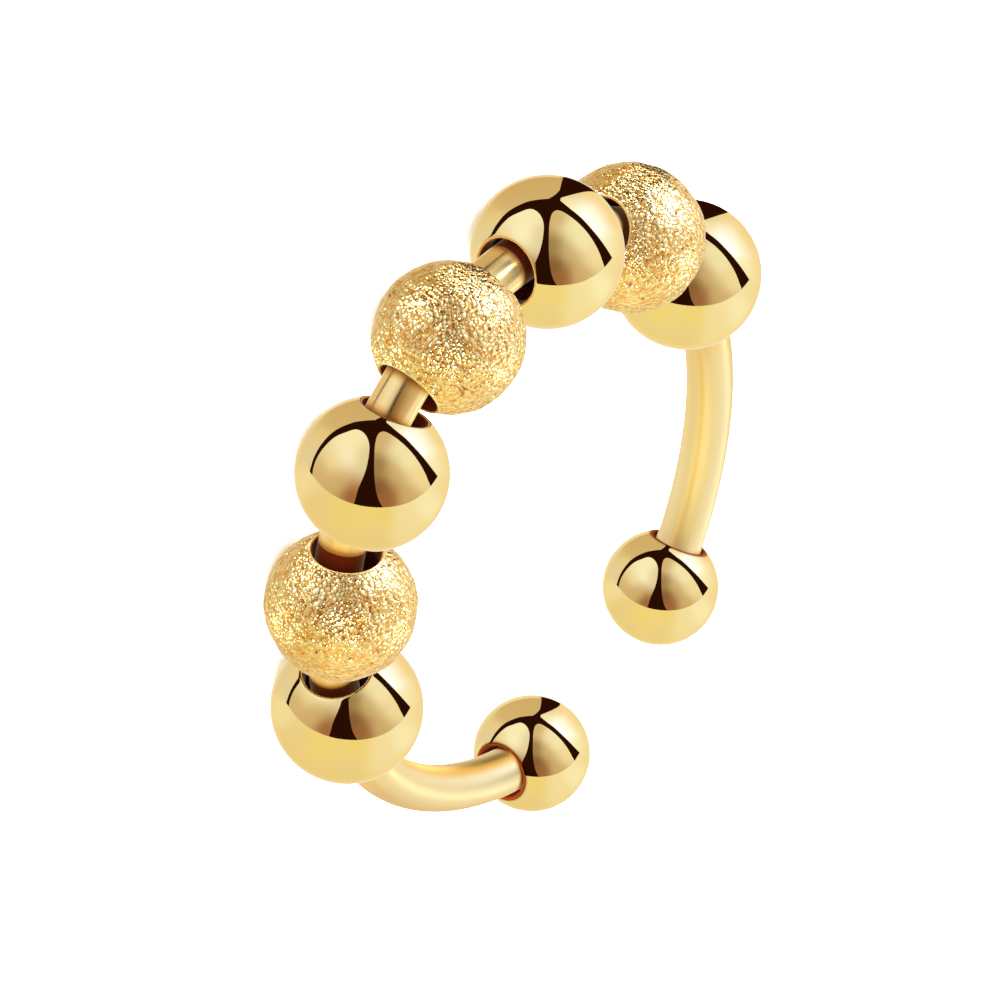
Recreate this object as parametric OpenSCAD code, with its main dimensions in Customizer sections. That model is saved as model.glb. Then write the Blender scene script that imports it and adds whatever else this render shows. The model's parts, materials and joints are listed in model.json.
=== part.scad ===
// Open spinner ring: seven loose round beads on a bent wire band, closed off by two small end balls.
// All sizes are in millimetres. The ring lies on its side: the finger goes through along Z,
// the opening of the band points to +Y and the beads fill the -Y side.

/* [Band] */
// Diameter of the round wire
wire_d = 1.75; // [1.2:0.05:2]
// Width inside the bent wire, across the finger from side to side
inside_w = 19.4; // [17:0.1:24]
// Height inside the bent wire, from the bead side to where the open side would close
inside_h = 24.2; // [18:0.1:28]
// Clear gap between the two end balls
end_gap = 3.8; // [2:0.1:7]

/* [Beads] */
// Number of loose beads, an odd number so that one sits in the middle
bead_count = 7; // [3:2:7]
// Outer diameter of a loose bead
bead_d = 5.5; // [4:0.1:6]
// Wall of the hollow bead
bead_wall = 0.4; // [0.25:0.05:0.6]
// Diameter of the hole through a bead
bead_hole_d = 2.45; // [2.2:0.05:2.8]
// Width and depth of the bevel round each hole
hole_bevel = 0.08; // [0.04:0.01:0.12]
// Length of the rim that is turned in at each hole
rim_length = 0.55; // [0.3:0.05:0.8]
// Wall of the turned-in rim
rim_wall = 0.3; // [0.2:0.05:0.4]
// Gap left between neighbouring beads where they come closest
bead_gap = 0.06; // [0.04:0.01:0.2]

/* [End balls] */
// Diameter of the ball on each end of the wire
end_ball_d = 4.35; // [3.4:0.05:5]
// Play between the wire and the wall of its socket in the end ball
socket_play = 0.13; // [0.08:0.01:0.25]
// Width and depth of the bevel round the mouth of the socket
socket_bevel = 0.08; // [0.04:0.01:0.12]
// Gap between the end of the wire and the bottom of its socket
socket_floor_gap = 0.2; // [0.12:0.01:0.4]

/* [Resting] */
// Gap left where the wire lies lowest in the holes of the beads
wire_rest_gap = 0.03; // [0.02:0.01:0.08]

/* [Hidden] */
$fn = 96;
bead_numbers = [1:bead_count];
// Odd beads are polished and even beads are frosted
function is_frosted(i) = i % 2 == 0;
function bead_name(i) = str(is_frosted(i) ? "frosted_bead_" : "polished_bead_", i);

bead_r = bead_d / 2;
hole_r = bead_hole_d / 2;
mouth_r = hole_r + hole_bevel;
// Distance from a bead's centre to the flat plane of its mouth
mouth_h = sqrt(bead_r * bead_r - mouth_r * mouth_r);
// Half the length over which a bead's hole can touch the wire
bore_half = mouth_h - hole_bevel;
wire_r = wire_d / 2;
end_ball_r = end_ball_d / 2;

// The band is an oval of four arcs that meet at 45 degrees, tangent to one another.
join_angle = 45;
half_w = inside_w / 2 + wire_r;
half_h = inside_h / 2 + wire_r;
arc_shift = (half_h - half_w) * sin(join_angle) / (2 * sin(join_angle) - 1);
side_arc_r = half_w + arc_shift;
end_arc_r = half_h - arc_shift;

// A place on the band is given by the angle of the outward normal there, from +X towards +Y.
function is_side(normal) = abs(cos(normal)) > cos(join_angle);
function arc_r(normal) = is_side(normal) ? side_arc_r : end_arc_r;
function arc_centre(normal) =
    is_side(normal) ? [-sign(cos(normal)) * arc_shift, 0] : [0, sign(sin(normal)) * arc_shift];
function band_point(normal, inset = 0) =
    arc_centre(normal) + (arc_r(normal) - inset) * [cos(normal), sin(normal)];

// An end ball's centre is on the wire's line, so that the clear gap between the balls is end_gap.
ball_normal = acos((end_gap / 2 + end_ball_r) / end_arc_r);
// The socket runs straight along the chord of the wire inside the ball.
socket_turn = 2 * asin(end_ball_r / (2 * end_arc_r));
socket_r = wire_r + socket_play;
socket_mouth_r = socket_r + socket_bevel;

// A straight hole on a bent wire is centred half of the wire's bow further in.
function bead_inset(normal) = bore_half * bore_half / (4 * arc_r(normal));
function bead_point(normal) = band_point(normal, bead_inset(normal));
// The wire lies low in the holes of beads that stand on the same flat surface.
hole_play = hole_r - wire_r - wire_rest_gap;
largest_inset = bead_inset(-90);
bead_lift = sqrt(hole_play * hole_play - largest_inset * largest_inset);

// Two beads stay clear of each other when their centres are far apart, or else when the part in
// which the two balls would overlap lies wholly inside the mouths of both holes.
function angle_between(u, v) = acos(min(1, u * v / (norm(u) * norm(v))));
function tangent(normal) = [-sin(normal), cos(normal)];
function stays_clear(first, second) =
    let (
        step = bead_point(second) - bead_point(first),
        reach = bead_d + bead_gap,
        overlap_angle = acos(min(1, norm(step) / reach)),
        tilt = max(angle_between(step, tangent(first)), angle_between(step, tangent(second)))
    )
    norm(step) >= reach || overlap_angle + tilt <= asin(mouth_r / bead_r);
// Halves the range in which the next bead is just clear of the last one
function next_bead(last, near, far, halvings = 24) =
    halvings == 0 ? far
    : let (middle = (near + far) / 2)
      stays_clear(last, middle) ? next_bead(last, near, middle, halvings - 1)
                                : next_bead(last, middle, far, halvings - 1);
// Angles of the beads from the middle one, at the back of the ring, towards +X
function bead_row(count, last = -90) =
    count == 0 ? [last] : concat([last], bead_row(count - 1, next_bead(last, last, last + 80)));

middle_bead = (bead_count + 1) / 2;
right_half = bead_row(middle_bead - 1);
// Bead 1 is the last one on the +X side, and the -X side mirrors the +X side.
function bead_normal(i) = i <= middle_bead ? right_half[middle_bead - i] : -180 - right_half[i - middle_bead];

// One stretch of the round wire, from one normal to another on the same arc
module wire_arc(from, to) {
    middle = (from + to) / 2;
    translate([arc_centre(middle)[0], arc_centre(middle)[1], 0])
        rotate([0, 0, from])
            rotate_extrude(angle = to - from)
                translate([arc_r(middle), 0]) circle(r = wire_r);
}

module wire_band() {
    color("goldenrod") {
        wire_arc(-90 - join_angle, -90 + join_angle);
        for (side = [0, 1])
            mirror([side, 0, 0]) {
                wire_arc(-join_angle, join_angle);
                wire_arc(join_angle, ball_normal);
            }
    }
}

// A ball with a blind socket that opens towards +Z, its centre at the origin
module end_ball() {
    mouth_z = sqrt(end_ball_r * end_ball_r - socket_mouth_r * socket_mouth_r);
    color("gold")
        rotate_extrude()
            difference() {
                circle(r = end_ball_r);
                translate([-end_ball_r, -end_ball_r]) square([end_ball_r, end_ball_d]);
                polygon([
                    [0, -socket_floor_gap],
                    [socket_r, -socket_floor_gap],
                    [socket_r, mouth_z - socket_bevel],
                    [socket_mouth_r, mouth_z],
                    [socket_mouth_r, end_ball_r],
                    [0, end_ball_r]
                ]);
            }
}

module right_end_ball() {
    centre = band_point(ball_normal);
    translate([centre[0], centre[1], 0])
        rotate([0, 0, ball_normal - socket_turn / 2])
            rotate([90, 0, 0])
                end_ball();
}

module left_end_ball() {
    mirror([1, 0, 0]) right_end_ball();
}

// The hollow wall, the two turned-in rims and the bevelled mouths, turned round the bead's hole
module bead(shade) {
    color(shade)
        rotate_extrude()
            difference() {
                union() {
                    difference() {
                        circle(r = bead_r);
                        circle(r = bead_r - bead_wall);
                    }
                    for (side = [-1, 1])
                        translate([hole_r, side * (bore_half - rim_length / 2)])
                            square([2 * rim_wall, rim_length], center = true);
                }
                translate([-bead_r, -bead_r]) square([bead_r + hole_r, bead_d]);
                for (side = [-1, 1])
                    scale([1, side])
                        polygon([
                            [hole_r, bore_half],
                            [mouth_r, mouth_h],
                            [mouth_r, bead_r],
                            [0, bead_r],
                            [0, bore_half]
                        ]);
            }
}

// A bead on its place on the band, its hole along the wire
module placed_bead(i) {
    centre = bead_point(bead_normal(i));
    translate([centre[0], centre[1], bead_lift])
        rotate([0, 0, bead_normal(i)])
            rotate([90, 0, 0])
                bead(is_frosted(i) ? "khaki" : "gold");
}

wire_band();
right_end_ball();
left_end_ball();
for (i = bead_numbers)
    placed_bead(i);
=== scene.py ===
"""Looks of an open spinner ring: seven loose gold beads on a bent wire that ends in two small balls.

Polished and frosted beads, the satin wire and the end balls are worked out with numpy in the frame of the
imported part, and each takes the place of its plain solid. A light tent that only reflections see gives the
polished gold its bright panels and dark slits.
"""
import json
import math

import bpy
import numpy as np
from mathutils import Matrix, Vector


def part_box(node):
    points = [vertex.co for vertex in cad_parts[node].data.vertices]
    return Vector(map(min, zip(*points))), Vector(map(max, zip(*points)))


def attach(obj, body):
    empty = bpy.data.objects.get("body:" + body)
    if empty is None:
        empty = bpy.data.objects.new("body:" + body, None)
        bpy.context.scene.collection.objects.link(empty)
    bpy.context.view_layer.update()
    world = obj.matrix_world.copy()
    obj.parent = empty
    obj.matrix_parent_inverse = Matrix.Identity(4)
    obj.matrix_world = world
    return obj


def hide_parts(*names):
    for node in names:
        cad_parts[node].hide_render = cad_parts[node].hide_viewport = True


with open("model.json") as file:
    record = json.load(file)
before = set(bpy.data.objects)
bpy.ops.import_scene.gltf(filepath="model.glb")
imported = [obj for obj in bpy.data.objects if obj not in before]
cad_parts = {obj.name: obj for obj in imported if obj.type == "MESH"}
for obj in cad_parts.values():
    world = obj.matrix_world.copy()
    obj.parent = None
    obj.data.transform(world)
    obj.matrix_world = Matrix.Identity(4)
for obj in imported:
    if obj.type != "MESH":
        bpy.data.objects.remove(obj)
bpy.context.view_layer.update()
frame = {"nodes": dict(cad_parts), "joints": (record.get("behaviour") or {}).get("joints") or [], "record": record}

MM = 0.001

# Sizes of the ring in millimetres, as in the part's source
WIRE_R = 0.875
INSIDE_W = 19.4
INSIDE_H = 24.2
END_GAP = 3.8
END_BALL_R = 2.175
SOCKET_PLAY = 0.13
SOCKET_R = WIRE_R + SOCKET_PLAY
SOCKET_FLOOR_GAP = 0.2
BEAD_R = 2.75
BEAD_WALL = 0.4
HOLE_R = 1.225
RIM_R = 1.525
RIM_END = 1.79
# Small rounds at the mouths, where the solids have a bevel, and the height at which a bore's wall starts
LIP_R = 0.09
BALL_LIP_R = 0.08
BORE_END = 2.05

# The band's middle line is an oval of four arcs that meet at 45 degrees, tangent to one another
HALF_W, HALF_H = INSIDE_W / 2 + WIRE_R, INSIDE_H / 2 + WIRE_R
JOIN = math.sin(math.radians(45))
ARC_SHIFT = (HALF_H - HALF_W) * JOIN / (2 * JOIN - 1)
SIDE_ARC_R, END_ARC_R = HALF_W + ARC_SHIFT, HALF_H - ARC_SHIFT

# How finely each piece is drawn: rows over the outside, columns round the hole, millimetres along the wire
FROSTED_ROWS, FROSTED_COLUMNS = 146, 456
POLISHED_ROWS, POLISHED_COLUMNS = 96, 192
BALL_ROWS, BALL_COLUMNS = 96, 160
WIRE_STEP, WIRE_COLUMNS = 0.12, 64
LIP_ROWS, INNER_ROWS = 9, 16
# Angle that an end ball's pole closes over, and how much less the radius is at the wire's ends
BALL_POLE = 0.03
END_ROUND = 0.05

# Camera

# The photograph's view, fitted to the centres of the beads and end balls: degrees, then millimetres
AZIMUTH, ELEVATION, ROLL = 18.464, 27.285, 119.346
DISTANCE = 346.5
PIXELS_PER_MM = 27.585
ORIGIN_PIXEL = (524.50, 512.80)
FRAME_PIXELS = 1000
SENSOR_MM = 36.0


def view_axes(azimuth, elevation, roll):
    """Rows right, up and back of a camera that looks at the origin.

    Back points from the object to the camera; right and up are turned about it by the roll.
    """
    a, e, t = map(math.radians, (azimuth, elevation, roll))
    back = np.array([math.sin(a) * math.cos(e), -math.cos(a) * math.cos(e), math.sin(e)])
    level = np.array([math.cos(a), math.sin(a), 0.0])
    upright = np.cross(back, level)
    right = math.cos(t) * level + math.sin(t) * upright
    up = math.cos(t) * upright - math.sin(t) * level
    return np.array([right, up, back])


VIEW = view_axes(AZIMUTH, ELEVATION, ROLL)


def add_camera():
    """The photograph's camera, shifted so that the ring's origin falls on its own pixel."""
    data = bpy.data.cameras.new("photo_camera")
    data.sensor_width = SENSOR_MM
    data.lens = PIXELS_PER_MM * DISTANCE / FRAME_PIXELS * SENSOR_MM
    data.shift_x = (FRAME_PIXELS / 2 - ORIGIN_PIXEL[0]) / FRAME_PIXELS
    data.shift_y = (ORIGIN_PIXEL[1] - FRAME_PIXELS / 2) / FRAME_PIXELS
    data.clip_start, data.clip_end = 0.01, 10.0
    camera = bpy.data.objects.new("photo_camera", data)
    turn = Matrix(VIEW.T.tolist()).to_4x4()
    camera.matrix_world = Matrix.Translation(Vector(VIEW[2]) * DISTANCE * MM) @ turn
    bpy.context.scene.collection.objects.link(camera)
    bpy.context.scene.camera = camera


# Meshes

NO_FANS = np.zeros((0, 3), int)


def put_mesh(name, points, quads, fans, colours=None, masks=None):
    """A mesh object from whole arrays.

    These are points in millimetres, faces of four corners, faces of three, and light colours or named masks.
    """
    mesh = bpy.data.meshes.new(name)
    corners = np.concatenate([quads.ravel(), fans.ravel()]).astype(np.int32)
    starts = np.concatenate([np.arange(len(quads)) * 4, len(quads) * 4 + np.arange(len(fans)) * 3])
    mesh.vertices.add(len(points))
    mesh.vertices.foreach_set("co", (points * MM).astype(np.float32).ravel())
    mesh.loops.add(len(corners))
    mesh.loops.foreach_set("vertex_index", corners)
    mesh.polygons.add(len(starts))
    mesh.polygons.foreach_set("loop_start", starts.astype(np.int32))
    mesh.update(calc_edges=True)
    mesh.shade_smooth()
    for key, values in (masks or {}).items():
        kind = "FLOAT" if values.ndim == 1 else "FLOAT_VECTOR"
        layer = mesh.attributes.new(key, kind, "POINT")
        layer.data.foreach_set("value" if values.ndim == 1 else "vector", values.astype(np.float32).ravel())
    if colours is not None:
        layer = mesh.attributes.new("glow", "FLOAT_COLOR", "POINT")
        full = np.concatenate([colours, np.ones((len(colours), 1))], axis=1)
        layer.data.foreach_set("color", full.astype(np.float32).ravel())
    piece = bpy.data.objects.new(name, mesh)
    bpy.context.scene.collection.objects.link(piece)
    return piece


def wrap_faces(rows, columns, rows_closed):
    """Corner numbers of the quads of a grid whose columns run round and close; rows close too if asked."""
    i = np.arange(rows if rows_closed else rows - 1)[:, None]
    j = np.arange(columns)[None, :]
    down, across = (i + 1) % rows, (j + 1) % columns
    corners = [i * columns + j, down * columns + j, down * columns + across, i * columns + across]
    quads = np.stack(corners, -1)
    return quads.reshape(-1, 4)


def outward(points, quads, fans):
    """Turns all faces round if the volume that they enclose comes out negative."""
    def volume(a, b, c):
        return np.einsum("ij,ij->i", points[a], np.cross(points[b], points[c])).sum()
    total = volume(quads[:, 0], quads[:, 1], quads[:, 2]) + volume(quads[:, 0], quads[:, 2], quads[:, 3])
    total += volume(fans[:, 0], fans[:, 1], fans[:, 2]) if len(fans) else 0
    return (quads, fans) if total > 0 else (quads[:, ::-1], fans[:, ::-1])


def close_poles(rings):
    """Points, quads and end fans of an open stack of rings, each end drawn together in one point."""
    rows, columns = rings.shape[:2]
    points = np.concatenate([rings.reshape(-1, 3), rings[:1].mean(1), rings[-1:].mean(1)])
    first, last = rows * columns, rows * columns + 1
    j = np.arange(columns)
    after = (j + 1) % columns
    top = np.stack([np.full(columns, first), j, after], -1)
    low = (rows - 1) * columns
    bottom = np.stack([np.full(columns, last), low + after, low + j], -1)
    return points, wrap_faces(rows, columns, False), np.concatenate([top, bottom])


def axes_along(direction):
    """Two level-ish unit vectors square to the direction, then the direction itself, as rows."""
    w = np.asarray(direction, float) / np.linalg.norm(direction)
    v = np.array([0.0, 0.0, 1.0])
    u = np.cross(v, w)
    u /= np.linalg.norm(u)
    return np.array([u, np.cross(w, u), w])


def revolve(profile, around):
    """Turns a profile of (radius, height) pairs round the height axis.

    Gives rings of x, y and z: the radius times the turn's cosine, the radius times its sine, and the height.
    """
    angle = np.arange(around) * 2 * np.pi / around
    r, z = profile[:, 0, None], profile[:, 1, None]
    return np.stack([r * np.cos(angle), r * np.sin(angle), z + 0 * angle], -1)


def arc(centre, radius, start, end, steps):
    """Points on a circle in the (radius, height) plane, from angles that start at the height axis.

    The radius follows the angle's sine, and the height its cosine.
    """
    angle = np.linspace(start, end, steps)
    return np.stack([centre[0] + radius * np.sin(angle), centre[1] + radius * np.cos(angle)], -1)


# Shapes


def lip_centre(ball_r, hole_r, lip_r):
    """Centre of the small round that touches a ball from inside and the hole's wall from outside.

    Its height is the root of the difference between two squares: the ball's radius less the round's, and the
    hole's radius and the round's together.
    """
    return np.array([hole_r + lip_r, math.sqrt((ball_r - lip_r) ** 2 - (hole_r + lip_r) ** 2)])


def bead_profile(outer_rows, lip_tone):
    """Closed outline of a bead's wall: ball, lip, hole, turned-in rim, inside of the shell, and back.

    Gives the (radius, height) pairs and a mask of painted shade that is 1 inside the hole and the hollow, and
    rises over the lip by the power lip_tone.
    """
    lip = lip_centre(BEAD_R, HOLE_R, LIP_R)
    touch = math.atan2(lip[0], lip[1])
    inner_r = BEAD_R - BEAD_WALL
    inner_touch = math.asin(RIM_R / inner_r)
    outer = arc((0, 0), BEAD_R, touch, np.pi - touch, outer_rows)
    lower_lip = arc(lip * (1, -1), LIP_R, np.pi - touch, 1.5 * np.pi, LIP_ROWS)[1:]
    lower_bore = np.array([[HOLE_R, -BORE_END], [HOLE_R, -RIM_END], [RIM_R, -RIM_END]])
    inner = arc((0, 0), inner_r, np.pi - inner_touch, inner_touch, INNER_ROWS)[1:-1]
    upper_bore = np.array([[RIM_R, RIM_END], [HOLE_R, RIM_END], [HOLE_R, BORE_END]])
    upper_lip = arc(lip, LIP_R, -0.5 * np.pi, touch, LIP_ROWS)[:-1]
    parts = [outer, lower_lip, lower_bore, inner, upper_bore, upper_lip]
    ramp = np.linspace(0, 1, len(lower_lip)) ** lip_tone
    deep = np.ones(len(lower_bore) + len(inner) + len(upper_bore))
    dark = np.concatenate([np.zeros(len(outer)), ramp, deep, ramp[::-1]])
    return np.concatenate(parts), dark


def ball_profile():
    """Outline of an end ball from its far pole over the lip and the socket's wall to the socket's floor.

    Gives the (radius, height) pairs, the mask of the painted shade inside, and the mask of the painted reddish
    glow inside, which stands for the gold's shade and reflections in the socket.
    """
    lip = lip_centre(END_BALL_R, SOCKET_R, BALL_LIP_R)
    touch = math.atan2(lip[0], lip[1])
    outer = arc((0, 0), END_BALL_R, np.pi - BALL_POLE, touch, BALL_ROWS)
    lip_arc = arc(lip, BALL_LIP_R, touch, -0.5 * np.pi, LIP_ROWS + 1)[1:]
    wall = np.array([[SOCKET_R, z] for z in (1.5, 1.0, 0.5, 0.0, -SOCKET_FLOOR_GAP)])
    floor = np.array([[r, -SOCKET_FLOOR_GAP] for r in (0.7, 0.4, 0.1)])
    lip_dark = np.linspace(0.1, 0.6, len(lip_arc))
    dark = np.concatenate([np.zeros(len(outer)), lip_dark, np.full(len(wall), 0.66), np.ones(len(floor))])
    inside = np.ones(len(lip_arc) + len(wall) + len(floor))
    # Where the painted reddish glow of the socket lies
    socket_glow_mask = np.concatenate([np.zeros(len(outer) - 2), [0.25, 0.7], inside])
    return np.concatenate([outer, lip_arc, wall, floor]), dark, socket_glow_mask


def band_line(step):
    """The wire's middle line, four arcs tangent at 45 degrees, from one end ball's centre to the other's.

    Gives the points and the outward normal's angle at each, about one step apart.
    """
    stop = math.degrees(math.acos((END_GAP / 2 + END_BALL_R) / END_ARC_R))
    stretches = [(stop, 45, (0, ARC_SHIFT), END_ARC_R), (45, -45, (-ARC_SHIFT, 0), SIDE_ARC_R),
                 (-45, -135, (0, -ARC_SHIFT), END_ARC_R), (-135, -225, (ARC_SHIFT, 0), SIDE_ARC_R),
                 (-225, -180 - stop, (0, ARC_SHIFT), END_ARC_R)]
    points, normals = [], []
    for start, end, centre, radius in stretches:
        count = max(2, int(abs(math.radians(end - start)) * radius / step))
        angle = np.radians(np.linspace(start, end, count, endpoint=False))
        x, y = centre[0] + radius * np.cos(angle), centre[1] + radius * np.sin(angle)
        points.append(np.stack([x, y], -1))
        normals.append(angle)
    last = math.radians(-180 - stop)
    points.append([[END_ARC_R * math.cos(last), ARC_SHIFT + END_ARC_R * math.sin(last)]])
    normals.append([last])
    return np.concatenate(points), np.concatenate(normals)


def nearest_seed(points, cell, seed):
    """Distance in cells to the nearest of one random point per cubic cell, and that point's own number."""
    place = points / cell
    low = np.floor(place).astype(int)
    base = low.min(0) - 1
    size = low.max(0) - base + 2
    rng = np.random.default_rng(seed)
    jitter = rng.random((*size, 3))
    tag = rng.random(size)
    best = np.full(len(points), 9.0)
    best_tag = np.zeros(len(points))
    for dx in (-1, 0, 1):
        for dy in (-1, 0, 1):
            for dz in (-1, 0, 1):
                at = low + (dx, dy, dz)
                i, j, k = (at - base).T
                far = np.linalg.norm(at + jitter[i, j, k] - place, axis=1)
                nearer = far < best
                best = np.where(nearer, far, best)
                best_tag = np.where(nearer, tag[i, j, k], best_tag)
    return best, best_tag


def soft_noise(points, cell, seed):
    """Random values from -1 to 1 on a cubic lattice, blended between its corners.

    A corner's share falls along each axis by three squares less two cubes of the way across the cell.
    """
    place = points / cell
    low = np.floor(place).astype(int)
    base = low.min(0)
    size = low.max(0) - base + 2
    grid = np.random.default_rng(seed).random(size) * 2 - 1
    t = place - low
    t = t * t * (3 - 2 * t)
    total = np.zeros(len(points))
    for dx in (0, 1):
        for dy in (0, 1):
            for dz in (0, 1):
                i, j, k = (low - base + (dx, dy, dz)).T
                weight = np.prod(np.where((dx, dy, dz), t, 1 - t), axis=1)
                total += grid[i, j, k] * weight
    return total


# The frosted finish: the cells of its noises and its heights, in millimetres
GRAIN_CELL, GRAIN_HEIGHT = 0.26, 0.04
WARP_CELL, WARP_REACH = 0.3, 0.05
WAVE_CELL, WAVE_HEIGHT = 0.6, 0.04
PATCH_CELL = 0.9
PIT_CELL, PIT_DEPTH = 0.42, 0.06
CRACK_CELL, CRACK_PATCH_CELL = 0.42, 1.1
# Share of the cells that hold a pit, and a pit's reach in cells
PIT_SHARE, PIT_REACH = 0.6, 0.24
# How near nought a crack's noise has to be, and a crack's depth in pits
CRACK_WIDTH, CRACK_SHARE = 0.06, 0.7
# How far past the lip of a hole the frosting comes up in full, in millimetres
FROST_FADE = 0.1


def frost(points, seed):
    """Height of the frosted finish in millimetres, and the masks of its creases and pits, where the material
    paints shade.

    Rounded grains are a tenth less the squared distance to the nearest seed point in cells, scaled by that
    point's number and by a slow noise. Soft waves are a noise too. Pits are cut where a coarser seed point
    with a low number lies close, and cracks where one noise is near nought and another is high.
    """
    warp = np.stack([soft_noise(points, WARP_CELL, seed + n) for n in range(3)], -1) * WARP_REACH
    near, tag = nearest_seed(points + warp, GRAIN_CELL, seed + 3)
    grain = (0.1 - near ** 2) * (0.55 + 0.9 * tag)
    wave = soft_noise(points, WAVE_CELL, seed + 4)
    patch = 0.75 + 0.35 * soft_noise(points, PATCH_CELL, seed + 5)
    hollow, number = nearest_seed(points, PIT_CELL, seed + 6)
    pit = np.clip(1 - hollow / PIT_REACH, 0, 1) * (number < PIT_SHARE)
    crack = np.clip(1 - np.abs(soft_noise(points, CRACK_CELL, seed + 7)) / CRACK_WIDTH, 0, 1)
    crack = crack * np.clip((soft_noise(points, CRACK_PATCH_CELL, seed + 8) - 0.1) / 0.2, 0, 1)
    pit = np.maximum(pit, CRACK_SHARE * crack)
    # The creases between grains, where the material paints shade
    crease = np.clip((near - 0.5) / 0.35, 0, 1)
    height = GRAIN_HEIGHT * patch * grain + WAVE_HEIGHT * (wave - 0.5) - PIT_DEPTH * pit
    return height, np.clip(crease * patch, 0, 1), pit


# Node groups and materials


def linear(*rgb):
    """A colour on a screen, 0 to 255, turned into light amounts by the screen's power curve of 2.4."""
    c = np.array(rgb, float) / 255
    return np.where(c <= 0.04045, c / 12.92, ((c + 0.055) / 1.055) ** 2.4)


# The gold in light amounts: all of it; its slow drift, which holes also show at their mouths as a painted
# reflection;
# its glancing edges; the painted shade inside holes; and the painted reddish glow of shade and reflection in
# sockets
GOLD = np.array([1.0, 0.755, 0.315])
DEEP_GOLD = np.array([0.83, 0.40, 0.085])
EDGE_TINT = np.array([1.0, 0.86, 0.62])
HOLE_SHADE_GOLD = np.array([0.050, 0.0062, 0.0012])
SOCKET_GLOW_GOLD = np.array([0.13, 0.016, 0.001])
# The wire between the beads, its legs, and the painted reflections on the legs: rosy on their outer side and
# an amber line on the inner
STUB_GOLD = np.array([1.0, 0.69, 0.26])
LEG_GOLD = np.array([1.0, 0.77, 0.37])
ROSY_REFLECTION_GOLD = np.array([0.86, 0.58, 0.29])
AMBER_REFLECTION_GOLD = np.array([0.92, 0.50, 0.07])
# The frosting; its deeper tone, given at random to grains and painted as shade in creases; and the painted shade
# in its pits
FROST_GOLD = np.array([1.0, 0.81, 0.33])
FROST_DEEP = np.array([0.84, 0.33, 0.04])
PIT_SHADE_GOLD = np.array([0.38, 0.09, 0.012])

POLISHED_ROUGHNESS, FROST_ROUGHNESS, WIRE_ROUGHNESS = 0.015, 0.22, 0.19
# How much of the metal is left at the bottom of the holes, whose dark is painted shade; the rest is diffuse and
# lit softly
HOLE_METAL, WIRE_HOLE_METAL = 0.12, 0.5
# The frosting's droplets: cells per metre, how far they lean, their height in metres, their size in cells
FACET_SCALE = 4400.0
FACET_LEAN = 0.8
FACET_DEPTH = 0.000033
DOME_REACH = 0.62
# The two layers of droplets: how many times finer, and their share of the height
FACET_LAYERS = ((1.0, 1.0), (1.7, 0.5))
# Details of the plating per metre: tone drift, handling haze and hairline scratches
DRIFT_SCALE, HAZE_SCALE, HAIR_SCALE = 180.0, 700.0, 900.0
# The scratches run slantwise: their noise is turned by these radians and stretched by these amounts
HAIR_TURN, HAIR_STRETCH = (0.5, 0.3, 0.9), (1.0, 9.0, 3.0)
# Height of the hairline scratches and of the wire's draw lines, in metres
SCRATCH_DEPTH = 0.00001
# Cells of the draw lines' noise over the wire's radius
STREAK_SCALE = 9.0


class Wiring:
    """Places nodes in a tree and joins them by socket name, or by n and the socket's number."""

    def __init__(self, tree):
        self.tree = tree

    def add(self, kind, settings=None, **inputs):
        """A new node with its settings and inputs; a low line in an input's name stands for a space."""
        node = self.tree.nodes.new(kind)
        for key, value in (settings or {}).items():
            setattr(node, key, value)
        for key, value in inputs.items():
            self.feed(node, key.replace("_", " "), value)
        return node

    def feed(self, node, key, value):
        """Joins a socket to another one, or gives it a plain value."""
        socket = node.inputs[int(key[1:]) if key[:1] == "n" and key[1:].isdigit() else key]
        if isinstance(value, bpy.types.NodeSocket):
            self.tree.links.new(value, socket)
        else:
            socket.default_value = value

    def math(self, operation, a, b=0.0, clamp=False):
        settings = {"operation": operation, "use_clamp": clamp}
        return self.add("ShaderNodeMath", settings, n0=a, n1=b).outputs[0]

    def vector_math(self, operation, a, b):
        return self.add("ShaderNodeVectorMath", {"operation": operation}, n0=a, n1=b).outputs

    def mix(self, factor, a, b):
        """One colour turned into another by the factor."""
        return self.add("ShaderNodeMix", {"data_type": "RGBA"}, n0=factor, n6=a, n7=b).outputs[2]

    def noise(self, place, scale, detail):
        return self.add("ShaderNodeTexNoise", Vector=place, Scale=scale, Detail=detail).outputs["Fac"]

    def spread(self, value, low, high, to_low, to_high):
        """A straight ramp: low becomes to_low, high becomes to_high, and it stays level beyond them."""
        ends = {"From_Min": low, "From_Max": high, "To_Min": to_low, "To_Max": to_high}
        return self.add("ShaderNodeMapRange", Value=value, **ends).outputs[0]


COLOUR, NUMBER = "NodeSocketColor", "NodeSocketFloat"


def rgba(colour):
    """A colour with full cover, as sockets take it."""
    return (*map(float, colour), 1.0)


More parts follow.
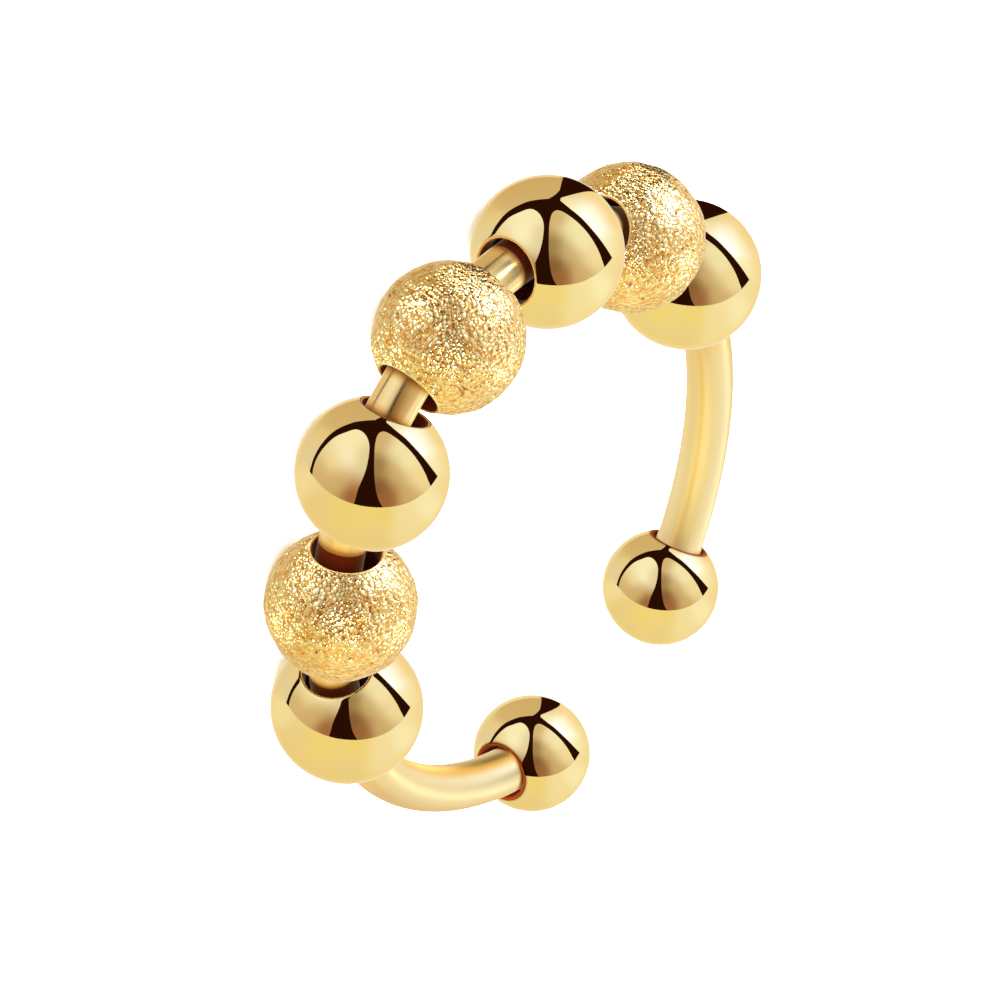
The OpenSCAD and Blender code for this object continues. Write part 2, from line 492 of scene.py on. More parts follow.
def plating_group():
    """Shared finish of all the gold: tone that drifts a little, handling haze, hairline scratches, and painted
    shade in holes.

    The tone follows slow noise; the haze and the hairlines follow faster noise, and fade by the Wear input.
    Hollow paints a reflection of deep gold at a hole's mouth, and painted shade, near black with less metal,
    deeper in.
    """
    group = bpy.data.node_groups.new("gold_plating", "ShaderNodeTree")
    inputs = (("Gold", COLOUR, rgba(GOLD)), ("Deep", COLOUR, rgba(DEEP_GOLD)), ("Hollow", NUMBER, 0.0),
              ("Roughness", NUMBER, 0.05), ("Wear", NUMBER, 0.3))
    for name, kind, default in inputs:
        group.interface.new_socket(name, in_out="INPUT", socket_type=kind).default_value = default
    for name, kind in (("Colour", COLOUR), ("Metal", NUMBER), ("Roughness", NUMBER), ("Height", NUMBER)):
        group.interface.new_socket(name, in_out="OUTPUT", socket_type=kind)
    w = Wiring(group)
    given = w.add("NodeGroupInput")
    place = w.add("ShaderNodeTexCoord").outputs["Object"]
    drift = w.noise(place, DRIFT_SCALE, 2.0)
    haze = w.noise(place, HAZE_SCALE, 4.0)
    stretch = w.add("ShaderNodeMapping", Vector=place, Rotation=HAIR_TURN, Scale=HAIR_STRETCH)
    hair = w.noise(stretch.outputs[0], HAIR_SCALE, 3.0)
    line = w.spread(hair, 0.62, 0.70, 0.0, 1.0)
    tone = w.spread(drift, 0.35, 0.7, 0.0, 0.12)
    shade = w.mix(tone, given.outputs["Gold"], given.outputs["Deep"])
    # Painted reflection of deep gold at the mouths of holes, then painted shade, nearly black with less metal,
    # inside
    shade = w.mix(w.spread(given.outputs["Hollow"], 0.0, 0.45, 0.0, 1.0), shade, given.outputs["Deep"])
    shade = w.mix(w.spread(given.outputs["Hollow"], 0.4, 0.9, 0.0, 1.0), shade, rgba(HOLE_SHADE_GOLD))
    metal = w.spread(given.outputs["Hollow"], 0.4, 0.9, 1.0, HOLE_METAL)
    rubbed = w.math("MULTIPLY", w.spread(haze, 0.45, 0.8, 0.0, 0.08), given.outputs["Wear"])
    lined = w.math("MULTIPLY", line, w.math("MULTIPLY", given.outputs["Wear"], 0.06))
    rough = w.math("ADD", given.outputs["Roughness"], w.math("ADD", rubbed, lined))
    rough = w.math("ADD", rough, w.math("MULTIPLY", given.outputs["Hollow"], 0.18), clamp=True)
    scratch = w.math("MULTIPLY", line, given.outputs["Wear"])
    w.add("NodeGroupOutput", Colour=shade, Metal=metal, Roughness=rough, Height=scratch)
    return group


PLATING = plating_group()


def new_material(name):
    """An empty material with a metal shader, whose edges take the edge tint."""
    material = bpy.data.materials.new(name)
    material.use_nodes = True
    tree = material.node_tree
    tree.nodes.clear()
    w = Wiring(tree)
    shader = w.add("ShaderNodeBsdfPrincipled")
    shader.inputs["Specular IOR Level"].default_value = 0.0
    shader.inputs["Specular Tint"].default_value = rgba(EDGE_TINT)
    w.add("ShaderNodeOutputMaterial", Surface=shader.outputs[0])
    return material, w, shader


def plating(w, roughness, wear, **colours):
    """The shared finish, placed with a material's own values."""
    return w.add("ShaderNodeGroup", {"node_tree": PLATING}, Roughness=roughness, Wear=wear, **colours)


def add_bump(w, shader, height, strength, distance):
    """Gives the shader fine relief."""
    bump = w.add("ShaderNodeBump", Height=height, Strength=strength, Distance=distance)
    w.feed(shader, "Normal", bump.outputs[0])


def mask(w, name):
    """A mask that the mesh carries."""
    return w.add("ShaderNodeAttribute", {"attribute_name": name}).outputs["Fac"]


def polished_gold():
    """Mirror plating with hardly any roughness, with painted shade inside the holes and a painted reddish glow of
    shade and reflection in the end balls' sockets.
    """
    material, w, shader = new_material("polished_gold")
    coat = plating(w, POLISHED_ROUGHNESS, 0.25, Hollow=mask(w, "hollow"))
    socket = mask(w, "socket")
    # Painted reddish glow inside the sockets, standing for shade and the gold's reflections there
    painted_socket_glow = w.mix(w.spread(socket, 0.0, 0.6, 0.0, 1.0), coat.outputs["Colour"], rgba(SOCKET_GLOW_GOLD))
    w.feed(shader, "Base Color", painted_socket_glow)
    glow_metal = w.spread(socket, 0.65, 1.0, 1.0, 0.1)
    w.feed(shader, "Metallic", w.math("MULTIPLY", coat.outputs["Metal"], glow_metal))
    w.feed(shader, "Roughness", coat.outputs["Roughness"])
    add_bump(w, shader, coat.outputs["Height"], 0.02, SCRATCH_DEPTH)
    return material


def facet_group():
    """Droplets of the frosting: small domes round the seed points of two cellular patterns, one finer.

    A dome is one minus the squared distance to the seed point in dome radii, where that is above nought,
    and rises more to one side by the cell's random direction. The higher of the two patterns shows. Crease
    is 1 between the domes, where the material paints shade, and Tone is the showing cell's random number.
    """
    group = bpy.data.node_groups.new("frost_facets", "ShaderNodeTree")
    for name, default in (("Scale", FACET_SCALE), ("Lean", FACET_LEAN)):
        group.interface.new_socket(name, in_out="INPUT", socket_type=NUMBER).default_value = default
    for name in ("Height", "Crease", "Tone"):
        group.interface.new_socket(name, in_out="OUTPUT", socket_type=NUMBER)
    w = Wiring(group)
    given = w.add("NodeGroupInput")
    place = w.add("ShaderNodeTexCoord").outputs["Object"]
    layers, tones = [], []
    for finer, share in FACET_LAYERS:
        scale = w.math("MULTIPLY", given.outputs["Scale"], finer)
        cells = w.add("ShaderNodeTexVoronoi", Vector=place, Scale=scale)
        away = w.vector_math("SUBTRACT", place, cells.outputs["Position"])[0]
        lean = w.vector_math("SUBTRACT", cells.outputs["Color"], (0.5, 0.5, 0.5))[0]
        slant = w.vector_math("DOT_PRODUCT", away, lean)["Value"]
        slant = w.math("MULTIPLY", w.math("MULTIPLY", slant, scale), given.outputs["Lean"])
        reach = w.math("MULTIPLY", cells.outputs["Distance"], 1.0 / DOME_REACH)
        dome = w.math("MAXIMUM", w.math("SUBTRACT", 1.0, w.math("MULTIPLY", reach, reach)), 0.0)
        layers.append(w.math("MULTIPLY", w.math("MULTIPLY", dome, share), w.math("ADD", slant, 1.0)))
        tones.append(w.add("ShaderNodeSeparateColor", Color=cells.outputs["Color"]).outputs[2])
    height = w.math("MAXIMUM", *layers)
    finer_shows = w.math("GREATER_THAN", layers[1], layers[0])
    tone = w.math("ADD", w.math("MULTIPLY", finer_shows, w.math("SUBTRACT", tones[1], tones[0])), tones[0])
    w.add("NodeGroupOutput", Height=height, Crease=w.spread(height, 0.0, 0.4, 1.0, 0.0), Tone=tone)
    return group


def frosted_gold():
    """Sparkling plating: the modelled grains carry fine droplets, and creases and pits are painted with deeper
    gold as shade.
    """
    material, w, shader = new_material("frosted_gold")
    coat = plating(w, FROST_ROUGHNESS, 0.6, Gold=rgba(FROST_GOLD), Hollow=mask(w, "hollow"))
    facets = w.add("ShaderNodeGroup", {"node_tree": facet_group()}, Scale=FACET_SCALE, Lean=FACET_LEAN)
    cover = mask(w, "frosting")
    crease = w.math("MULTIPLY", w.math("MAXIMUM", facets.outputs["Crease"], mask(w, "crease")), cover)
    darker = w.math("MULTIPLY", w.spread(facets.outputs["Tone"], 0.0, 1.0, 0.35, 0.0), cover)
    shade = w.mix(darker, coat.outputs["Colour"], rgba(FROST_DEEP))
    # Painted shade in the creases between grains and droplets
    shade = w.mix(w.math("MULTIPLY", crease, 0.75), shade, rgba(FROST_DEEP))
    # Painted shade in the pits and cracks
    shade = w.mix(w.spread(mask(w, "pit"), 0.1, 0.7, 0.0, 0.9), shade, rgba(PIT_SHADE_GOLD))
    w.feed(shader, "Base Color", shade)
    w.feed(shader, "Metallic", coat.outputs["Metal"])
    w.feed(shader, "Roughness", coat.outputs["Roughness"])
    add_bump(w, shader, w.math("MULTIPLY", facets.outputs["Height"], cover), 1.0, FACET_DEPTH)
    return material


def satin_gold():
    """Drawn wire: softer plating with fine streaks along the wire, brushed on the legs that no bead rubs.

    Each leg has a painted amber reflection line on the inside, wide on the right leg, and a painted rosy
    reflection on its outer side.
    """
    material, w, shader = new_material("satin_gold")
    streak_place = w.add("ShaderNodeAttribute", {"attribute_name": "draw_lines"}).outputs["Vector"]
    streak = w.noise(streak_place, STREAK_SCALE, 3.0)
    gold = w.mix(mask(w, "brushed"), rgba(STUB_GOLD), rgba(LEG_GOLD))
    coat = plating(w, WIRE_ROUGHNESS, 0.15, Gold=gold, Hollow=mask(w, "hollow"))
    # Painted rosy reflection on the legs' outer side, then a painted amber reflection line on their inner side
    shade = w.mix(mask(w, "painted_rosy_reflection"), coat.outputs["Colour"], rgba(ROSY_REFLECTION_GOLD))
    w.feed(shader, "Base Color", w.mix(mask(w, "painted_amber_reflection"), shade, rgba(AMBER_REFLECTION_GOLD)))
    # Less metal where the painted shade on the wire is deepest
    w.feed(shader, "Metallic", w.spread(mask(w, "hollow"), 0.65, 1.0, 1.0, WIRE_HOLE_METAL))
    rough = w.math("ADD", coat.outputs["Roughness"], w.spread(streak, 0.3, 0.7, 0.0, 0.05))
    rough = w.math("ADD", rough, w.math("MULTIPLY", mask(w, "brushed"), 0.15))
    w.feed(shader, "Roughness", rough)
    add_bump(w, shader, streak, 0.08, SCRATCH_DEPTH)
    return material


MATERIALS = {"polished_gold": polished_gold(), "frosted_gold": frosted_gold(), "satin_gold": satin_gold()}


def finish_piece(piece, node, body, slot):
    """Gives a piece its material and its body, and hides the solid that it stands for; reflections don't see it.
    """
    piece.data.materials.append(MATERIALS[slot])
    piece.visible_glossy = False
    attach(piece, body)
    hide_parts(node)


# The ring


def make_bead(joint, node):
    """A loose bead on its hinge: the wall's outline turned round the hinge axis, frosted ones with grains.

    The frosting fades in smoothly past the lips of the hole and stays off the inside.
    """
    frosted = node.startswith("frosted")
    rows, columns, lip_tone = ((FROSTED_ROWS, FROSTED_COLUMNS, 0.4) if frosted
                               else (POLISHED_ROWS, POLISHED_COLUMNS, 0.5))
    profile, dark = bead_profile(rows, lip_tone)
    rings = revolve(profile, columns)
    # The hollow mask paints shade inside the hole and the shell, and a reflection of deep gold over the lip
    masks = {"hollow": np.repeat(dark, columns)}
    if frosted:
        flat = rings.reshape(-1, 3)
        height, crease, pit = frost(flat, seed=100 * int(node[-1]))
        length = np.linalg.norm(flat, axis=1, keepdims=True)
        edge = np.clip((np.hypot(flat[:, 0], flat[:, 1]) - HOLE_R - LIP_R) / FROST_FADE, 0, 1)
        cover = np.where(length[:, 0] > BEAD_R - 0.01, edge * edge * (3 - 2 * edge), 0)
        rings = (flat + flat / length * (height * cover)[:, None]).reshape(rings.shape)
        masks.update(crease=crease * cover, pit=pit * cover, frosting=cover)
    centre = np.array(joint["pos_m"]) / MM
    points = rings.reshape(-1, 3) @ axes_along(joint["axis"]) + centre
    quads, fans = outward(points - centre, wrap_faces(*rings.shape[:2], True), NO_FANS)
    piece = put_mesh(node + "_shell", points, quads, fans, masks=masks)
    finish_piece(piece, node, joint["child"], "frosted_gold" if frosted else "polished_gold")


def make_end_ball(node, side):
    """An end ball on the wire's end: its outline turned round the chord of the wire inside it."""
    line, normals = band_line(WIRE_STEP)
    at, normal = (line[0], normals[0]) if side > 0 else (line[-1], normals[-1])
    half_turn = math.asin(END_BALL_R / (2 * END_ARC_R))
    lean = normal - half_turn * side
    mouth = np.array([math.sin(lean), -math.cos(lean), 0.0]) * side
    profile, dark, socket_glow_mask = ball_profile()
    points, quads, fans = close_poles(revolve(profile, BALL_COLUMNS))
    masks = {"hollow": np.append(np.repeat(dark, BALL_COLUMNS), [0, 1]),
             "socket": np.append(np.repeat(socket_glow_mask, BALL_COLUMNS), [0, 1])}
    points = points @ axes_along(mouth)
    quads, fans = outward(points, quads, fans)
    piece = put_mesh(node + "_polished", points + (*at, 0.0), quads, fans, masks=masks)
    finish_piece(piece, node, "band", "polished_gold")


# Where painted shade starts to darken the wire, in millimetres outside a bead's or end ball's surface, and its
# fades
DARK_FROM = {"bead_2": 0.1, "bead_6": -0.75}
DARK_FROM_USUAL, DARK_FROM_BALL = -0.36, -0.27
BEAD_FADE, BALL_FADE, LEG_FADE = 0.4, 0.2, 1.5
# The painted amber reflection line on each leg, in degrees round the wire from its outer side: middle, width,
# and strength
RIGHT_AMBER_REFLECTION, LEFT_AMBER_REFLECTION = (163, 18, 1.0), (160, 5, 0.6)
# The painted rosy reflection on the outer side of the legs: where it has faded out, over how many degrees,
# and strength
OUTER_END, OUTER_FADE, OUTER_STRENGTH = 92, 50, 0.95
# The streaks' noise moves by 1 over the wire's radius and by this over a millimetre along it
STREAK_STEP = 0.02


def bell(at, middle, width, strength):
    """A bell curve: e to the minus squared distance from the middle in widths, times the strength."""
    return strength * np.exp(-((at - middle) / width) ** 2)


def make_wire():
    """The bent wire: a circle carried along the band's middle line, with rounded-off ends in the sockets.

    Painted shade darkens it where it enters a hole or a socket, sooner at bead 2, whose mouths lie in shade,
    and later at bead 6, whose mouth catches light. The legs past the last beads are brushed. Round the wire,
    the legs' painted amber reflection line is a bell curve on the inner side, and their painted rosy reflection
    on the outer side is a ramp that falls to nought at the top and the bottom.
    """
    line, normal = band_line(WIRE_STEP)
    turn = np.arange(WIRE_COLUMNS) * 2 * np.pi / WIRE_COLUMNS
    radius = np.full(len(line), WIRE_R)
    radius[[0, -1]] = WIRE_R - END_ROUND
    out = np.stack([np.cos(normal), np.sin(normal), 0 * normal], -1)[:, None, :]
    ring = np.cos(turn)[None, :, None] * out + np.sin(turn)[None, :, None] * np.array([0.0, 0.0, 1.0])
    centre = np.concatenate([line, np.zeros((len(line), 1))], axis=1)[:, None, :]
    rings = centre + radius[:, None, None] * ring
    along = np.concatenate([[0], np.cumsum(np.linalg.norm(np.diff(line, axis=0), axis=1))])
    lie = np.stack(np.broadcast_arrays(np.cos(turn), np.sin(turn), along[:, None] * STREAK_STEP), -1)
    # inside is the painted shade on the wire near the end balls, and then in the holes of the beads
    inside = np.clip((END_BALL_R + DARK_FROM_BALL - np.minimum(along, along[-1] - along)) / BALL_FADE, 0, 1)
    for joint in frame["joints"]:
        from_bead = np.linalg.norm(centre[:, 0, :] - np.array(joint["pos_m"]) / MM, axis=1)
        start = BEAD_R + DARK_FROM.get(joint["child"], DARK_FROM_USUAL)
        inside = np.maximum(inside, np.clip((start - from_bead) / BEAD_FADE, 0, 1))
    leg_start = min(abs(joint["pos_m"][1]) for joint in frame["joints"]) / MM
    brushed = np.clip((line[:, 1] - leg_start) / LEG_FADE, 0, 1)
    degrees = np.degrees(turn)
    painted_amber_reflection = np.where(line[:, :1] > 0, bell(degrees, *RIGHT_AMBER_REFLECTION), bell(degrees, *LEFT_AMBER_REFLECTION))
    painted_amber_reflection = brushed[:, None] * painted_amber_reflection
    painted_rosy_reflection = np.clip((OUTER_END - np.minimum(degrees, 360 - degrees)) / OUTER_FADE, 0, 1)
    painted_rosy_reflection = brushed[:, None] * OUTER_STRENGTH * painted_rosy_reflection
    points, quads, fans = close_poles(rings)
    lie = np.concatenate([lie.reshape(-1, 3), [[0, 0, 0], [0, 0, 1]]])
    masks = {"draw_lines": lie, "hollow": np.append(np.repeat(inside, WIRE_COLUMNS), [1, 1]),
             "brushed": np.append(np.repeat(brushed, WIRE_COLUMNS), [1, 1]),
             "painted_amber_reflection": np.append(painted_amber_reflection, [0, 0]), "painted_rosy_reflection": np.append(painted_rosy_reflection, [0, 0])}
    quads, fans = outward(points, quads, fans)
    piece = put_mesh("wire_band_drawn", points, quads, fans, masks=masks)
    finish_piece(piece, "wire_band", "band", "satin_gold")


# Studio

# The tent's radius and the step between its layers of cards, in millimetres
TENT_R, CARD_STEP = 260.0, 6.0
# How finely the tent, its cards and its strips are drawn, and the angle that the tent's poles close over
TENT_ROWS, TENT_COLUMNS = 120, 160
CARD_ROWS, STRIP_ROWS, STRIP_COLUMNS = 12, 16, 200
TENT_POLE = 0.02
# Tones that the mirror gold shows; a card's light is its tone over the gold's own colour
DARK = linear(40, 14, 2)
WHITE = linear(255, 250, 225) * 1.15
LAMP_WHITE = WHITE * 3
IVORY = linear(255, 245, 196)
CREAM = linear(252, 238, 178)
SAND = linear(246, 223, 155)
PALE = linear(230, 208, 152)
STRAW = linear(236, 208, 132)
YELLOW = linear(241, 213, 118)
AMBER = linear(246, 214, 135)
TAN = linear(210, 175, 108)
OLIVE = linear(150, 118, 60)
BROWN = linear(152, 90, 43)
UMBER = linear(122, 76, 32)


def seen_on_ball(xy):
    """The way that light comes from when it shows at (x, y) on a mirror ball in front of the camera.

    x and y are in ball radii, right and up in the picture. The ball's normal there is (x, y, root of what
    is left), and the way is the view's own direction turned over that normal.
    """
    xy = np.asarray(xy, float)
    z = np.sqrt(np.clip(1 - (xy ** 2).sum(-1), 0, 1))
    way = 2 * z[..., None] * np.concatenate([xy, z[..., None]], -1) - (0, 0, 1)
    return way @ VIEW


def smooth_line(corners, steps=12, closed=False):
    """A curve through the corners, by a cubic between two of them.

    Its slope at a corner is half the way between that corner's neighbours. An open curve ends at its last
    corner, and its end corners count as their own neighbours.
    """
    p = np.asarray(corners, float)
    if not closed:
        p = np.concatenate([p[:1], p, p[-1:]])
    before, after, beyond = np.roll(p, 1, 0), np.roll(p, -1, 0), np.roll(p, -2, 0)
    t = (np.arange(steps) / steps)[None, :, None]
    a, b, c, d = (q[:, None, :] for q in (before, p, after, beyond))
    bend, twist = 2 * a - 5 * b + 4 * c - d, 3 * b - a - 3 * c + d
    curve = 0.5 * (2 * b + (c - a) * t + bend * t ** 2 + twist * t ** 3)
    return curve.reshape(-1, 2) if closed else np.concatenate([curve[1:-2].reshape(-1, 2), p[-1:]])


# Added to a spot's squared distance, so that its colour is flat close by
SPOT_SOFTNESS = 0.02


def blend_colours(xy, spots):
    """Colour at each point from spots (x, y, colour), weighted by one over the fourth power of distance."""
    square = [(xy[:, 0] - x) ** 2 + (xy[:, 1] - y) ** 2 + SPOT_SOFTNESS for x, y, _ in spots]
    weights = np.stack([1 / far ** 2 for far in square], -1)
    return (weights / weights.sum(1, keepdims=True)) @ np.array([colour / GOLD for _, _, colour in spots])


# Where on the mirror ball the wall starts to fade to the tone of its edge, and over what length
EDGE_FROM, EDGE_FADE = 0.93, 0.055
# How far out the cards reach
CARD_EDGE = 0.985


def wall_colours(xy):
    """The tent's own blend.

    It fades to one tone near the mirror ball's edge, the whole of which is a single point of the tent.
    """
    blend = blend_colours(xy, OUTER_SPOTS)
    edge = np.clip((np.hypot(xy[:, 0], xy[:, 1]) - EDGE_FROM) / EDGE_FADE, 0, 1)[:, None]
    return blend + edge * (SAND / GOLD - blend)


def glow_material():
    """The light of the tent, in the colours that its meshes carry."""
    material = bpy.data.materials.new("tent_glow")
    material.use_nodes = True
    material.node_tree.nodes.clear()
    w = Wiring(material.node_tree)
    colour = w.add("ShaderNodeAttribute", {"attribute_name": "glow"}).outputs["Color"]
    shine = w.add("ShaderNodeEmission", Color=colour)
    w.add("ShaderNodeOutputMaterial", Surface=shine.outputs[0])
    material.cycles.emission_sampling = "NONE"
    return material


GLOW = glow_material()


def hang(thing):
    """Hangs a card or the wall of the tent, which reflections alone see."""
    thing.data.materials.append(GLOW)
    thing.visible_camera = thing.visible_diffuse = thing.visible_shadow = False
    thing.visible_transmission = thing.visible_volume_scatter = False


def tent_card(name, outline, middle, layer, spots):
    """A card on the tent's wall: rays from its middle to its closed outline, as a mirror ball shows them."""
    outline = np.concatenate([np.asarray(part, float) for part in outline])
    share = np.linspace(0, 1, CARD_ROWS + 1)[1:, None, None]
    flat = np.asarray(middle) + share * (outline[None] - middle)
    xy = np.concatenate([flat.reshape(-1, 2), [middle]])
    rows, columns = flat.shape[:2]
    j = np.arange(columns)
    fans = np.stack([np.full(columns, rows * columns), j, (j + 1) % columns], -1)
    points = seen_on_ball(xy) * (TENT_R - CARD_STEP * layer)
    hang(put_mesh(name, points, wrap_faces(rows, columns, False), fans, colours=blend_colours(xy, spots)))


def tent_strip(name, top, bottom, layer):
    """A card in the wall's colours: straight rungs between the points of two lines on the mirror ball."""
    share = np.linspace(0, 1, STRIP_COLUMNS)
    lines = [np.stack([np.interp(share, np.linspace(0, 1, len(line)), line[:, k]) for k in (0, 1)], -1)
             for line in (top, bottom)]
    rung = np.linspace(0, 1, STRIP_ROWS)[:, None, None]
    flat = lines[0] + rung * (lines[1] - lines[0])
    rows, columns = flat.shape[:2]
    xy = flat.reshape(-1, 2)
    quads = wrap_faces(rows, columns, False).reshape(rows - 1, columns, 4)[:, :-1].reshape(-1, 4)
    points = seen_on_ball(xy) * (TENT_R - CARD_STEP * layer)
    hang(put_mesh(name, points, quads, NO_FANS, colours=wall_colours(xy)))


def rim_points(start, end, count, radius=CARD_EDGE):
    """Points on a circle just inside the mirror ball's edge, in degrees anticlockwise from the right."""
    a = np.radians(np.linspace(start, end, count))
    return np.stack([radius * np.cos(a), radius * np.sin(a)], -1)


def tent_wall():
    """The whole tent: a ball of light round the ring, its colours blended between spots on the mirror ball.

    Its rows are even steps of the angle from the camera's way, and show on the mirror ball at the sine of
    half that angle.
    """
    theta = np.linspace(TENT_POLE, np.pi - TENT_POLE, TENT_ROWS)[:, None]
    phi = (np.arange(TENT_COLUMNS) * 2 * np.pi / TENT_COLUMNS)[None, :]
    rho = np.sin(theta / 2)
    xy = np.stack([rho * np.cos(phi), rho * np.sin(phi)], -1)
    points, quads, fans = close_poles(seen_on_ball(xy) * TENT_R)
    flat = np.concatenate([xy.reshape(-1, 2), [[0, 0], [0, -1]]])
    hang(put_mesh("tent_wall", points, quads, fans, colours=wall_colours(flat)))


# Colours of the wall and of the cards on the mirror ball: x, y and colour
OUTER_SPOTS = [
    (0.1, -0.5, YELLOW), (-0.35, -0.52, YELLOW), (0.45, -0.55, SAND), (0.0, -0.85, STRAW),
    (0.5, -0.8, SAND), (-0.5, -0.78, STRAW), (-0.7, -0.42, STRAW), (0.72, -0.45, CREAM),
    (-0.93, -0.1, SAND), (-0.92, 0.3, PALE), (-0.75, 0.62, PALE), (0.92, -0.12, SAND),
    (0.93, 0.2, SAND), (0.82, 0.46, AMBER), (0.74, 0.62, AMBER), (0.45, 0.52, WHITE),
    (0.55, 0.41, WHITE), (0.64, 0.29, WHITE), (0.3, 0.64, CREAM), (0.75, 0.12, CREAM),
    (0.5, 0.74, AMBER), (0.3, 0.78, TAN)]
UPPER_LEFT_SPOTS = [
    (-0.5, 0.62, TAN), (-0.2, 0.8, TAN), (-0.77, 0.3, PALE), (-0.6, 0.43, STRAW), (0.05, 0.85, TAN)]
LEFT_SPOTS = [
    (-0.32, 0.22, IVORY), (-0.25, 0.42, CREAM), (-0.5, 0.14, SAND), (-0.42, -0.1, TAN),
    (-0.27, -0.26, BROWN), (-0.64, 0.06, TAN), (-0.07, 0.2, PALE), (-0.55, -0.12, TAN)]
RIGHT_SPOTS = [
    (0.2, -0.31, BROWN), (0.07, 0.1, OLIVE), (0.1, -0.15, UMBER), (0.27, 0.0, TAN), (0.42, 0.14, CREAM),
    (0.3, 0.32, CREAM), (0.6, -0.05, SAND), (0.42, -0.27, TAN), (0.14, 0.4, TAN)]
DARK_SPOTS = [(0.0, 0.0, DARK)]
LAMP_SPOTS = [(0.54, 0.382, LAMP_WHITE)]


def build_tent():
    """The panels and slits that the photograph's mirror beads show: a card for each."""
    tent_wall()
    left_tip, right_tip = (-0.775, 0.03), (0.825, -0.03)
    horizon = smooth_line([
        left_tip, (-0.62, -0.15), (-0.45, -0.275), (-0.22, -0.37), (0.0, -0.41), (0.22, -0.41),
        (0.45, -0.36), (0.64, -0.25), (0.74, -0.15), right_tip])
    table_edge = np.concatenate([[(-CARD_EDGE, 0.0)], horizon, [(CARD_EDGE, 0.0)]])
    tent_strip("table_card", table_edge, rim_points(-178, -2, 60), 6)
    top_left = smooth_line([(0.02, 0.66), (0.1, 0.715), (0.17, 0.80), (0.21, 0.89), (0.19, 0.965)])
    top_right = smooth_line([
        (0.56, 0.81), (0.42, 0.80), (0.28, 0.755), (0.185, 0.695), (0.16, 0.64), (0.2, 0.59), (0.3, 0.52)])
    arc_left = smooth_line([
        left_tip, (-0.72, 0.2), (-0.62, 0.37), (-0.47, 0.52), (-0.26, 0.62), (-0.1, 0.65), (0.02, 0.66)])
    arc_right = smooth_line([
        (0.12, 0.62), (0.2, 0.59), (0.3, 0.52), (0.42, 0.425), (0.615, 0.225), (0.73, 0.09), right_tip])
    left_side = smooth_line([(-0.74, 0.55), (-0.83, 0.38), (-0.835, 0.2)])
    upper_left = [arc_left, top_left, rim_points(79, 128, 16, 0.95), left_side]
    tent_card("upper_left_card", upper_left, (-0.3, 0.75), 1, UPPER_LEFT_SPOTS)
    top_slit = [top_left, top_right, [(0.15, 0.56), (0.05, 0.6)]]
    tent_card("top_slit", top_slit, (0.13, 0.66), 2, DARK_SPOTS)
    slit_foot = smooth_line([
        (0.79, -0.14), (0.6, -0.33), (0.3, -0.45), (0.0, -0.47), (-0.31, -0.4), (-0.55, -0.25),
        (-0.72, -0.08)])
    tent_card("dark_slit", [arc_left, arc_right, slit_foot], (0.0, 0.1), 2, DARK_SPOTS)
    left = smooth_line([
        (-0.33, 0.50), (-0.2, 0.535), (-0.1, 0.48), (-0.045, 0.36), (-0.05, 0.2), (-0.09, 0.02),
        (-0.17, -0.17), (-0.28, -0.42), (-0.55, -0.28), (-0.72, -0.1), (-0.735, 0.02), (-0.69, 0.17),
        (-0.6, 0.31), (-0.47, 0.435)], closed=True)
    tent_card("left_card", [left], (-0.35, 0.12), 4, LEFT_SPOTS)
    right = smooth_line([
        (0.07, 0.49), (0.16, 0.51), (0.33, 0.405), (0.485, 0.26), (0.61, 0.09), (0.69, -0.07), (0.725, -0.2),
        (0.6, -0.37), (0.4, -0.45), (0.2, -0.48), (0.09, -0.36), (0.04, -0.2), (0.02, 0.0), (0.02, 0.2),
        (0.03, 0.37)], closed=True)
    tent_card("right_card", [right], (0.3, 0.0), 4, RIGHT_SPOTS)
    lamp = smooth_line([
        (0.4, 0.515), (0.47, 0.475), (0.565, 0.385), (0.635, 0.3), (0.655, 0.25), (0.62, 0.27),
        (0.54, 0.355), (0.45, 0.445)], closed=True)
    tent_card("lamp_core", [lamp], (0.54, 0.382), 3, LAMP_SPOTS)


# The floor's half width in millimetres
FLOOR_REACH = 3000.0
FLOOR_WHITE = (0.9, 0.9, 0.9, 1.0)


def add_floor():
    """A pale floor that reaches past the view, level with the lowest points of the beads."""
    low = min(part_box(name)[0].z for name in frame["nodes"]) / MM
    corner = np.array([[-1, -1], [1, -1], [1, 1], [-1, 1]]) * FLOOR_REACH
    points = np.concatenate([corner, np.full((4, 1), low)], axis=1)
    floor = put_mesh("floor", points, np.array([[0, 1, 2, 3]]), NO_FANS)
    material = bpy.data.materials.new("pale_floor")
    material.use_nodes = True
    shader = material.node_tree.nodes["Principled BSDF"]
    shader.inputs["Base Color"].default_value = FLOOR_WHITE
    shader.inputs["Roughness"].default_value = 0.9
    shader.inputs["Specular IOR Level"].default_value = 0.0
    floor.data.materials.append(material)
    floor.visible_glossy = False


def hang_light(data, way, away):
    """Hangs a flat light at a distance along a unit vector, so that it faces the ring."""
    light = bpy.data.objects.new(data.name, data)
    light.matrix_world = Matrix.Translation(way * away) @ way.to_track_quat("Z", "Y").to_matrix().to_4x4()
    bpy.context.scene.collection.objects.link(light)
    return light


# Soft lights on the floor and on the painted shade inside holes and sockets: the way they come from and their
# watts, then distance and width in metres
SOFT_LIGHTS = {"soft_key": ((-0.5, -0.6, 1.0), 0.6), "soft_fill": ((0.8, 0.5, 0.9), 0.4)}
SOFT_AWAY, SOFT_WIDTH = 0.5, 0.4


def add_soft_light(name, towards, watts):
    """A large square light that reflections don't see."""
    data = bpy.data.lights.new(name, "AREA")
    data.shape, data.size, data.energy = "SQUARE", SOFT_WIDTH, watts
    hang_light(data, Vector(towards).normalized(), SOFT_AWAY).visible_glossy = False


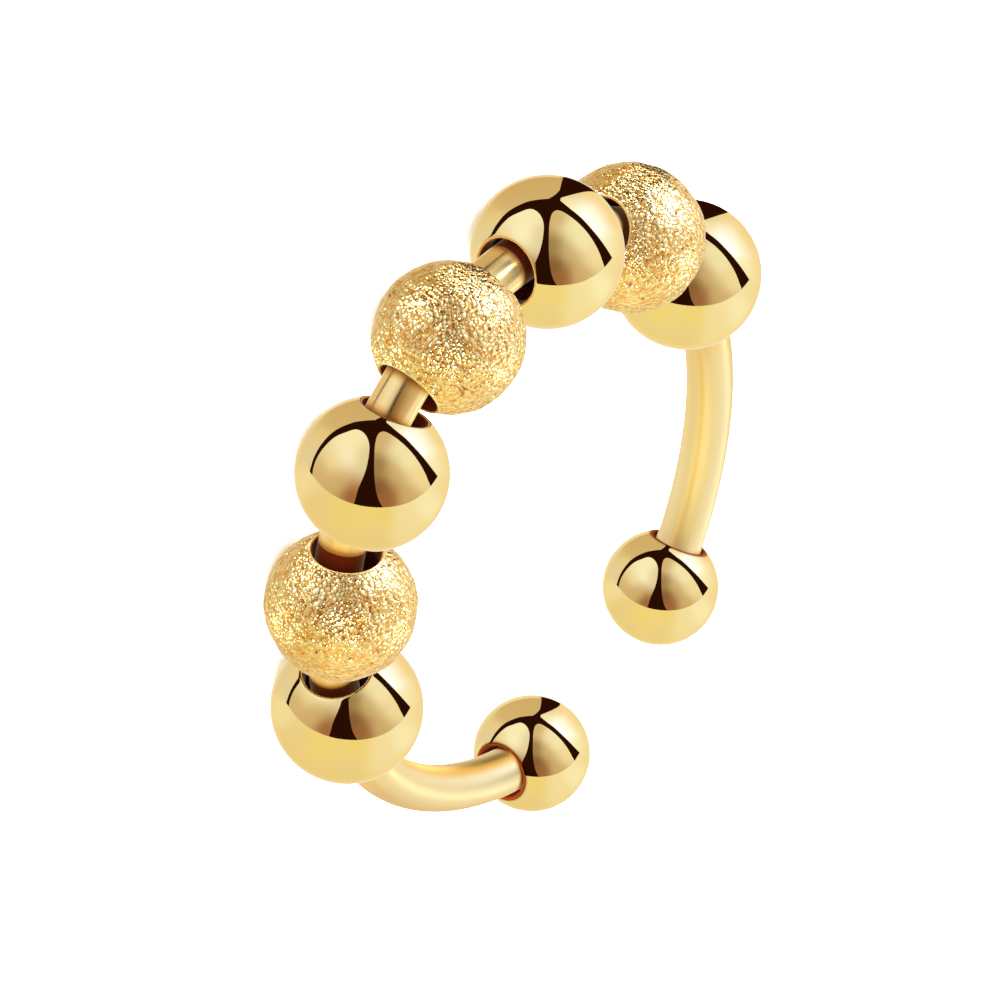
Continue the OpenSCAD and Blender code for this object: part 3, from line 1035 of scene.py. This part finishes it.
# Lamps this many metres from the ring's origin, in the tent: x and y on the mirror ball, width, strength
LAMP_AWAY = 0.19
SPARKLE_COLOUR = (1.0, 1.05, 1.4)
SPARKLE_LAMPS = [
    (0.5, 0.4, 0.05, 48.0), (-0.4, 0.4, 0.05, 20.0), (0.0, -0.3, 0.05, 15.0), (-0.75, -0.25, 0.05, 7.0),
    (0.7, -0.35, 0.05, 10.0), (0.1, 0.72, 0.05, 11.0), (0.05, -0.8, 0.2, 0.25), (0.8, -0.02, 0.2, 0.27)]
WIRE_COLOUR = (1.0, 0.98, 0.92)
WIRE_LAMPS = [
    (-0.15, -0.5, 0.26, 0.25), (0.8, -0.42, 0.04, 1.0), (0.47, 0.26, 0.04, 7.0), (0.18, 0.55, 0.1, 0.5),
    (0.6, 0.77, 0.06, 2.0)]


def add_lamps(name, receivers, lamps, colour):
    """Round lamps that light the named pieces alone.

    Each has its place on the mirror ball, its width in metres, and how many times brighter than white paper
    it is.
    """
    lit = bpy.data.collections.new(name + "_pieces")
    for piece in receivers:
        lit.objects.link(piece)
    for number, (x, y, width, strength) in enumerate(lamps):
        data = bpy.data.lights.new(f"{name}_{number}", "AREA")
        data.shape, data.size, data.color = "DISK", width, colour
        data.energy = strength * math.pi * math.pi * width ** 2 / 4
        lamp = hang_light(data, Vector(seen_on_ball((x, y))), LAMP_AWAY)
        lamp.light_linking.receiver_collection = lit


WORLD_WHITE = (7.0, 7.0, 7.0, 1.0)


def add_world():
    """White all round for the floor and the view, nearly black where a reflection finds no card."""
    world = bpy.data.worlds.new("studio")
    bpy.context.scene.world = world
    world.use_nodes = True
    world.node_tree.nodes.clear()
    w = Wiring(world.node_tree)
    path = w.add("ShaderNodeLightPath")
    colour = w.mix(path.outputs["Is Glossy Ray"], WORLD_WHITE, rgba(DARK / GOLD))
    shine = w.add("ShaderNodeBackground", Color=colour)
    w.add("ShaderNodeOutputWorld", Surface=shine.outputs[0])


# Everything together

add_camera()
joint_of = {joint["child"]: joint for joint in frame["joints"]}
for body, members in frame["record"]["behaviour"]["bodies"].items():
    if body in joint_of:
        make_bead(joint_of[body], members[0])
make_end_ball("right_end_ball", 1)
make_end_ball("left_end_ball", -1)
make_wire()
build_tent()
add_floor()
add_world()
for name, (towards, watts) in SOFT_LIGHTS.items():
    add_soft_light(name, towards, watts)
frosted_beads = [node for node in frame["nodes"] if node.startswith("frosted")]
frosted_shells = [bpy.data.objects[f"{node}_shell"] for node in frosted_beads]
add_lamps("sparkle", frosted_shells, SPARKLE_LAMPS, SPARKLE_COLOUR)
add_lamps("wire_glow", [bpy.data.objects["wire_band_drawn"]], WIRE_LAMPS, WIRE_COLOUR)
bpy.context.scene.view_settings.view_transform = "Standard"
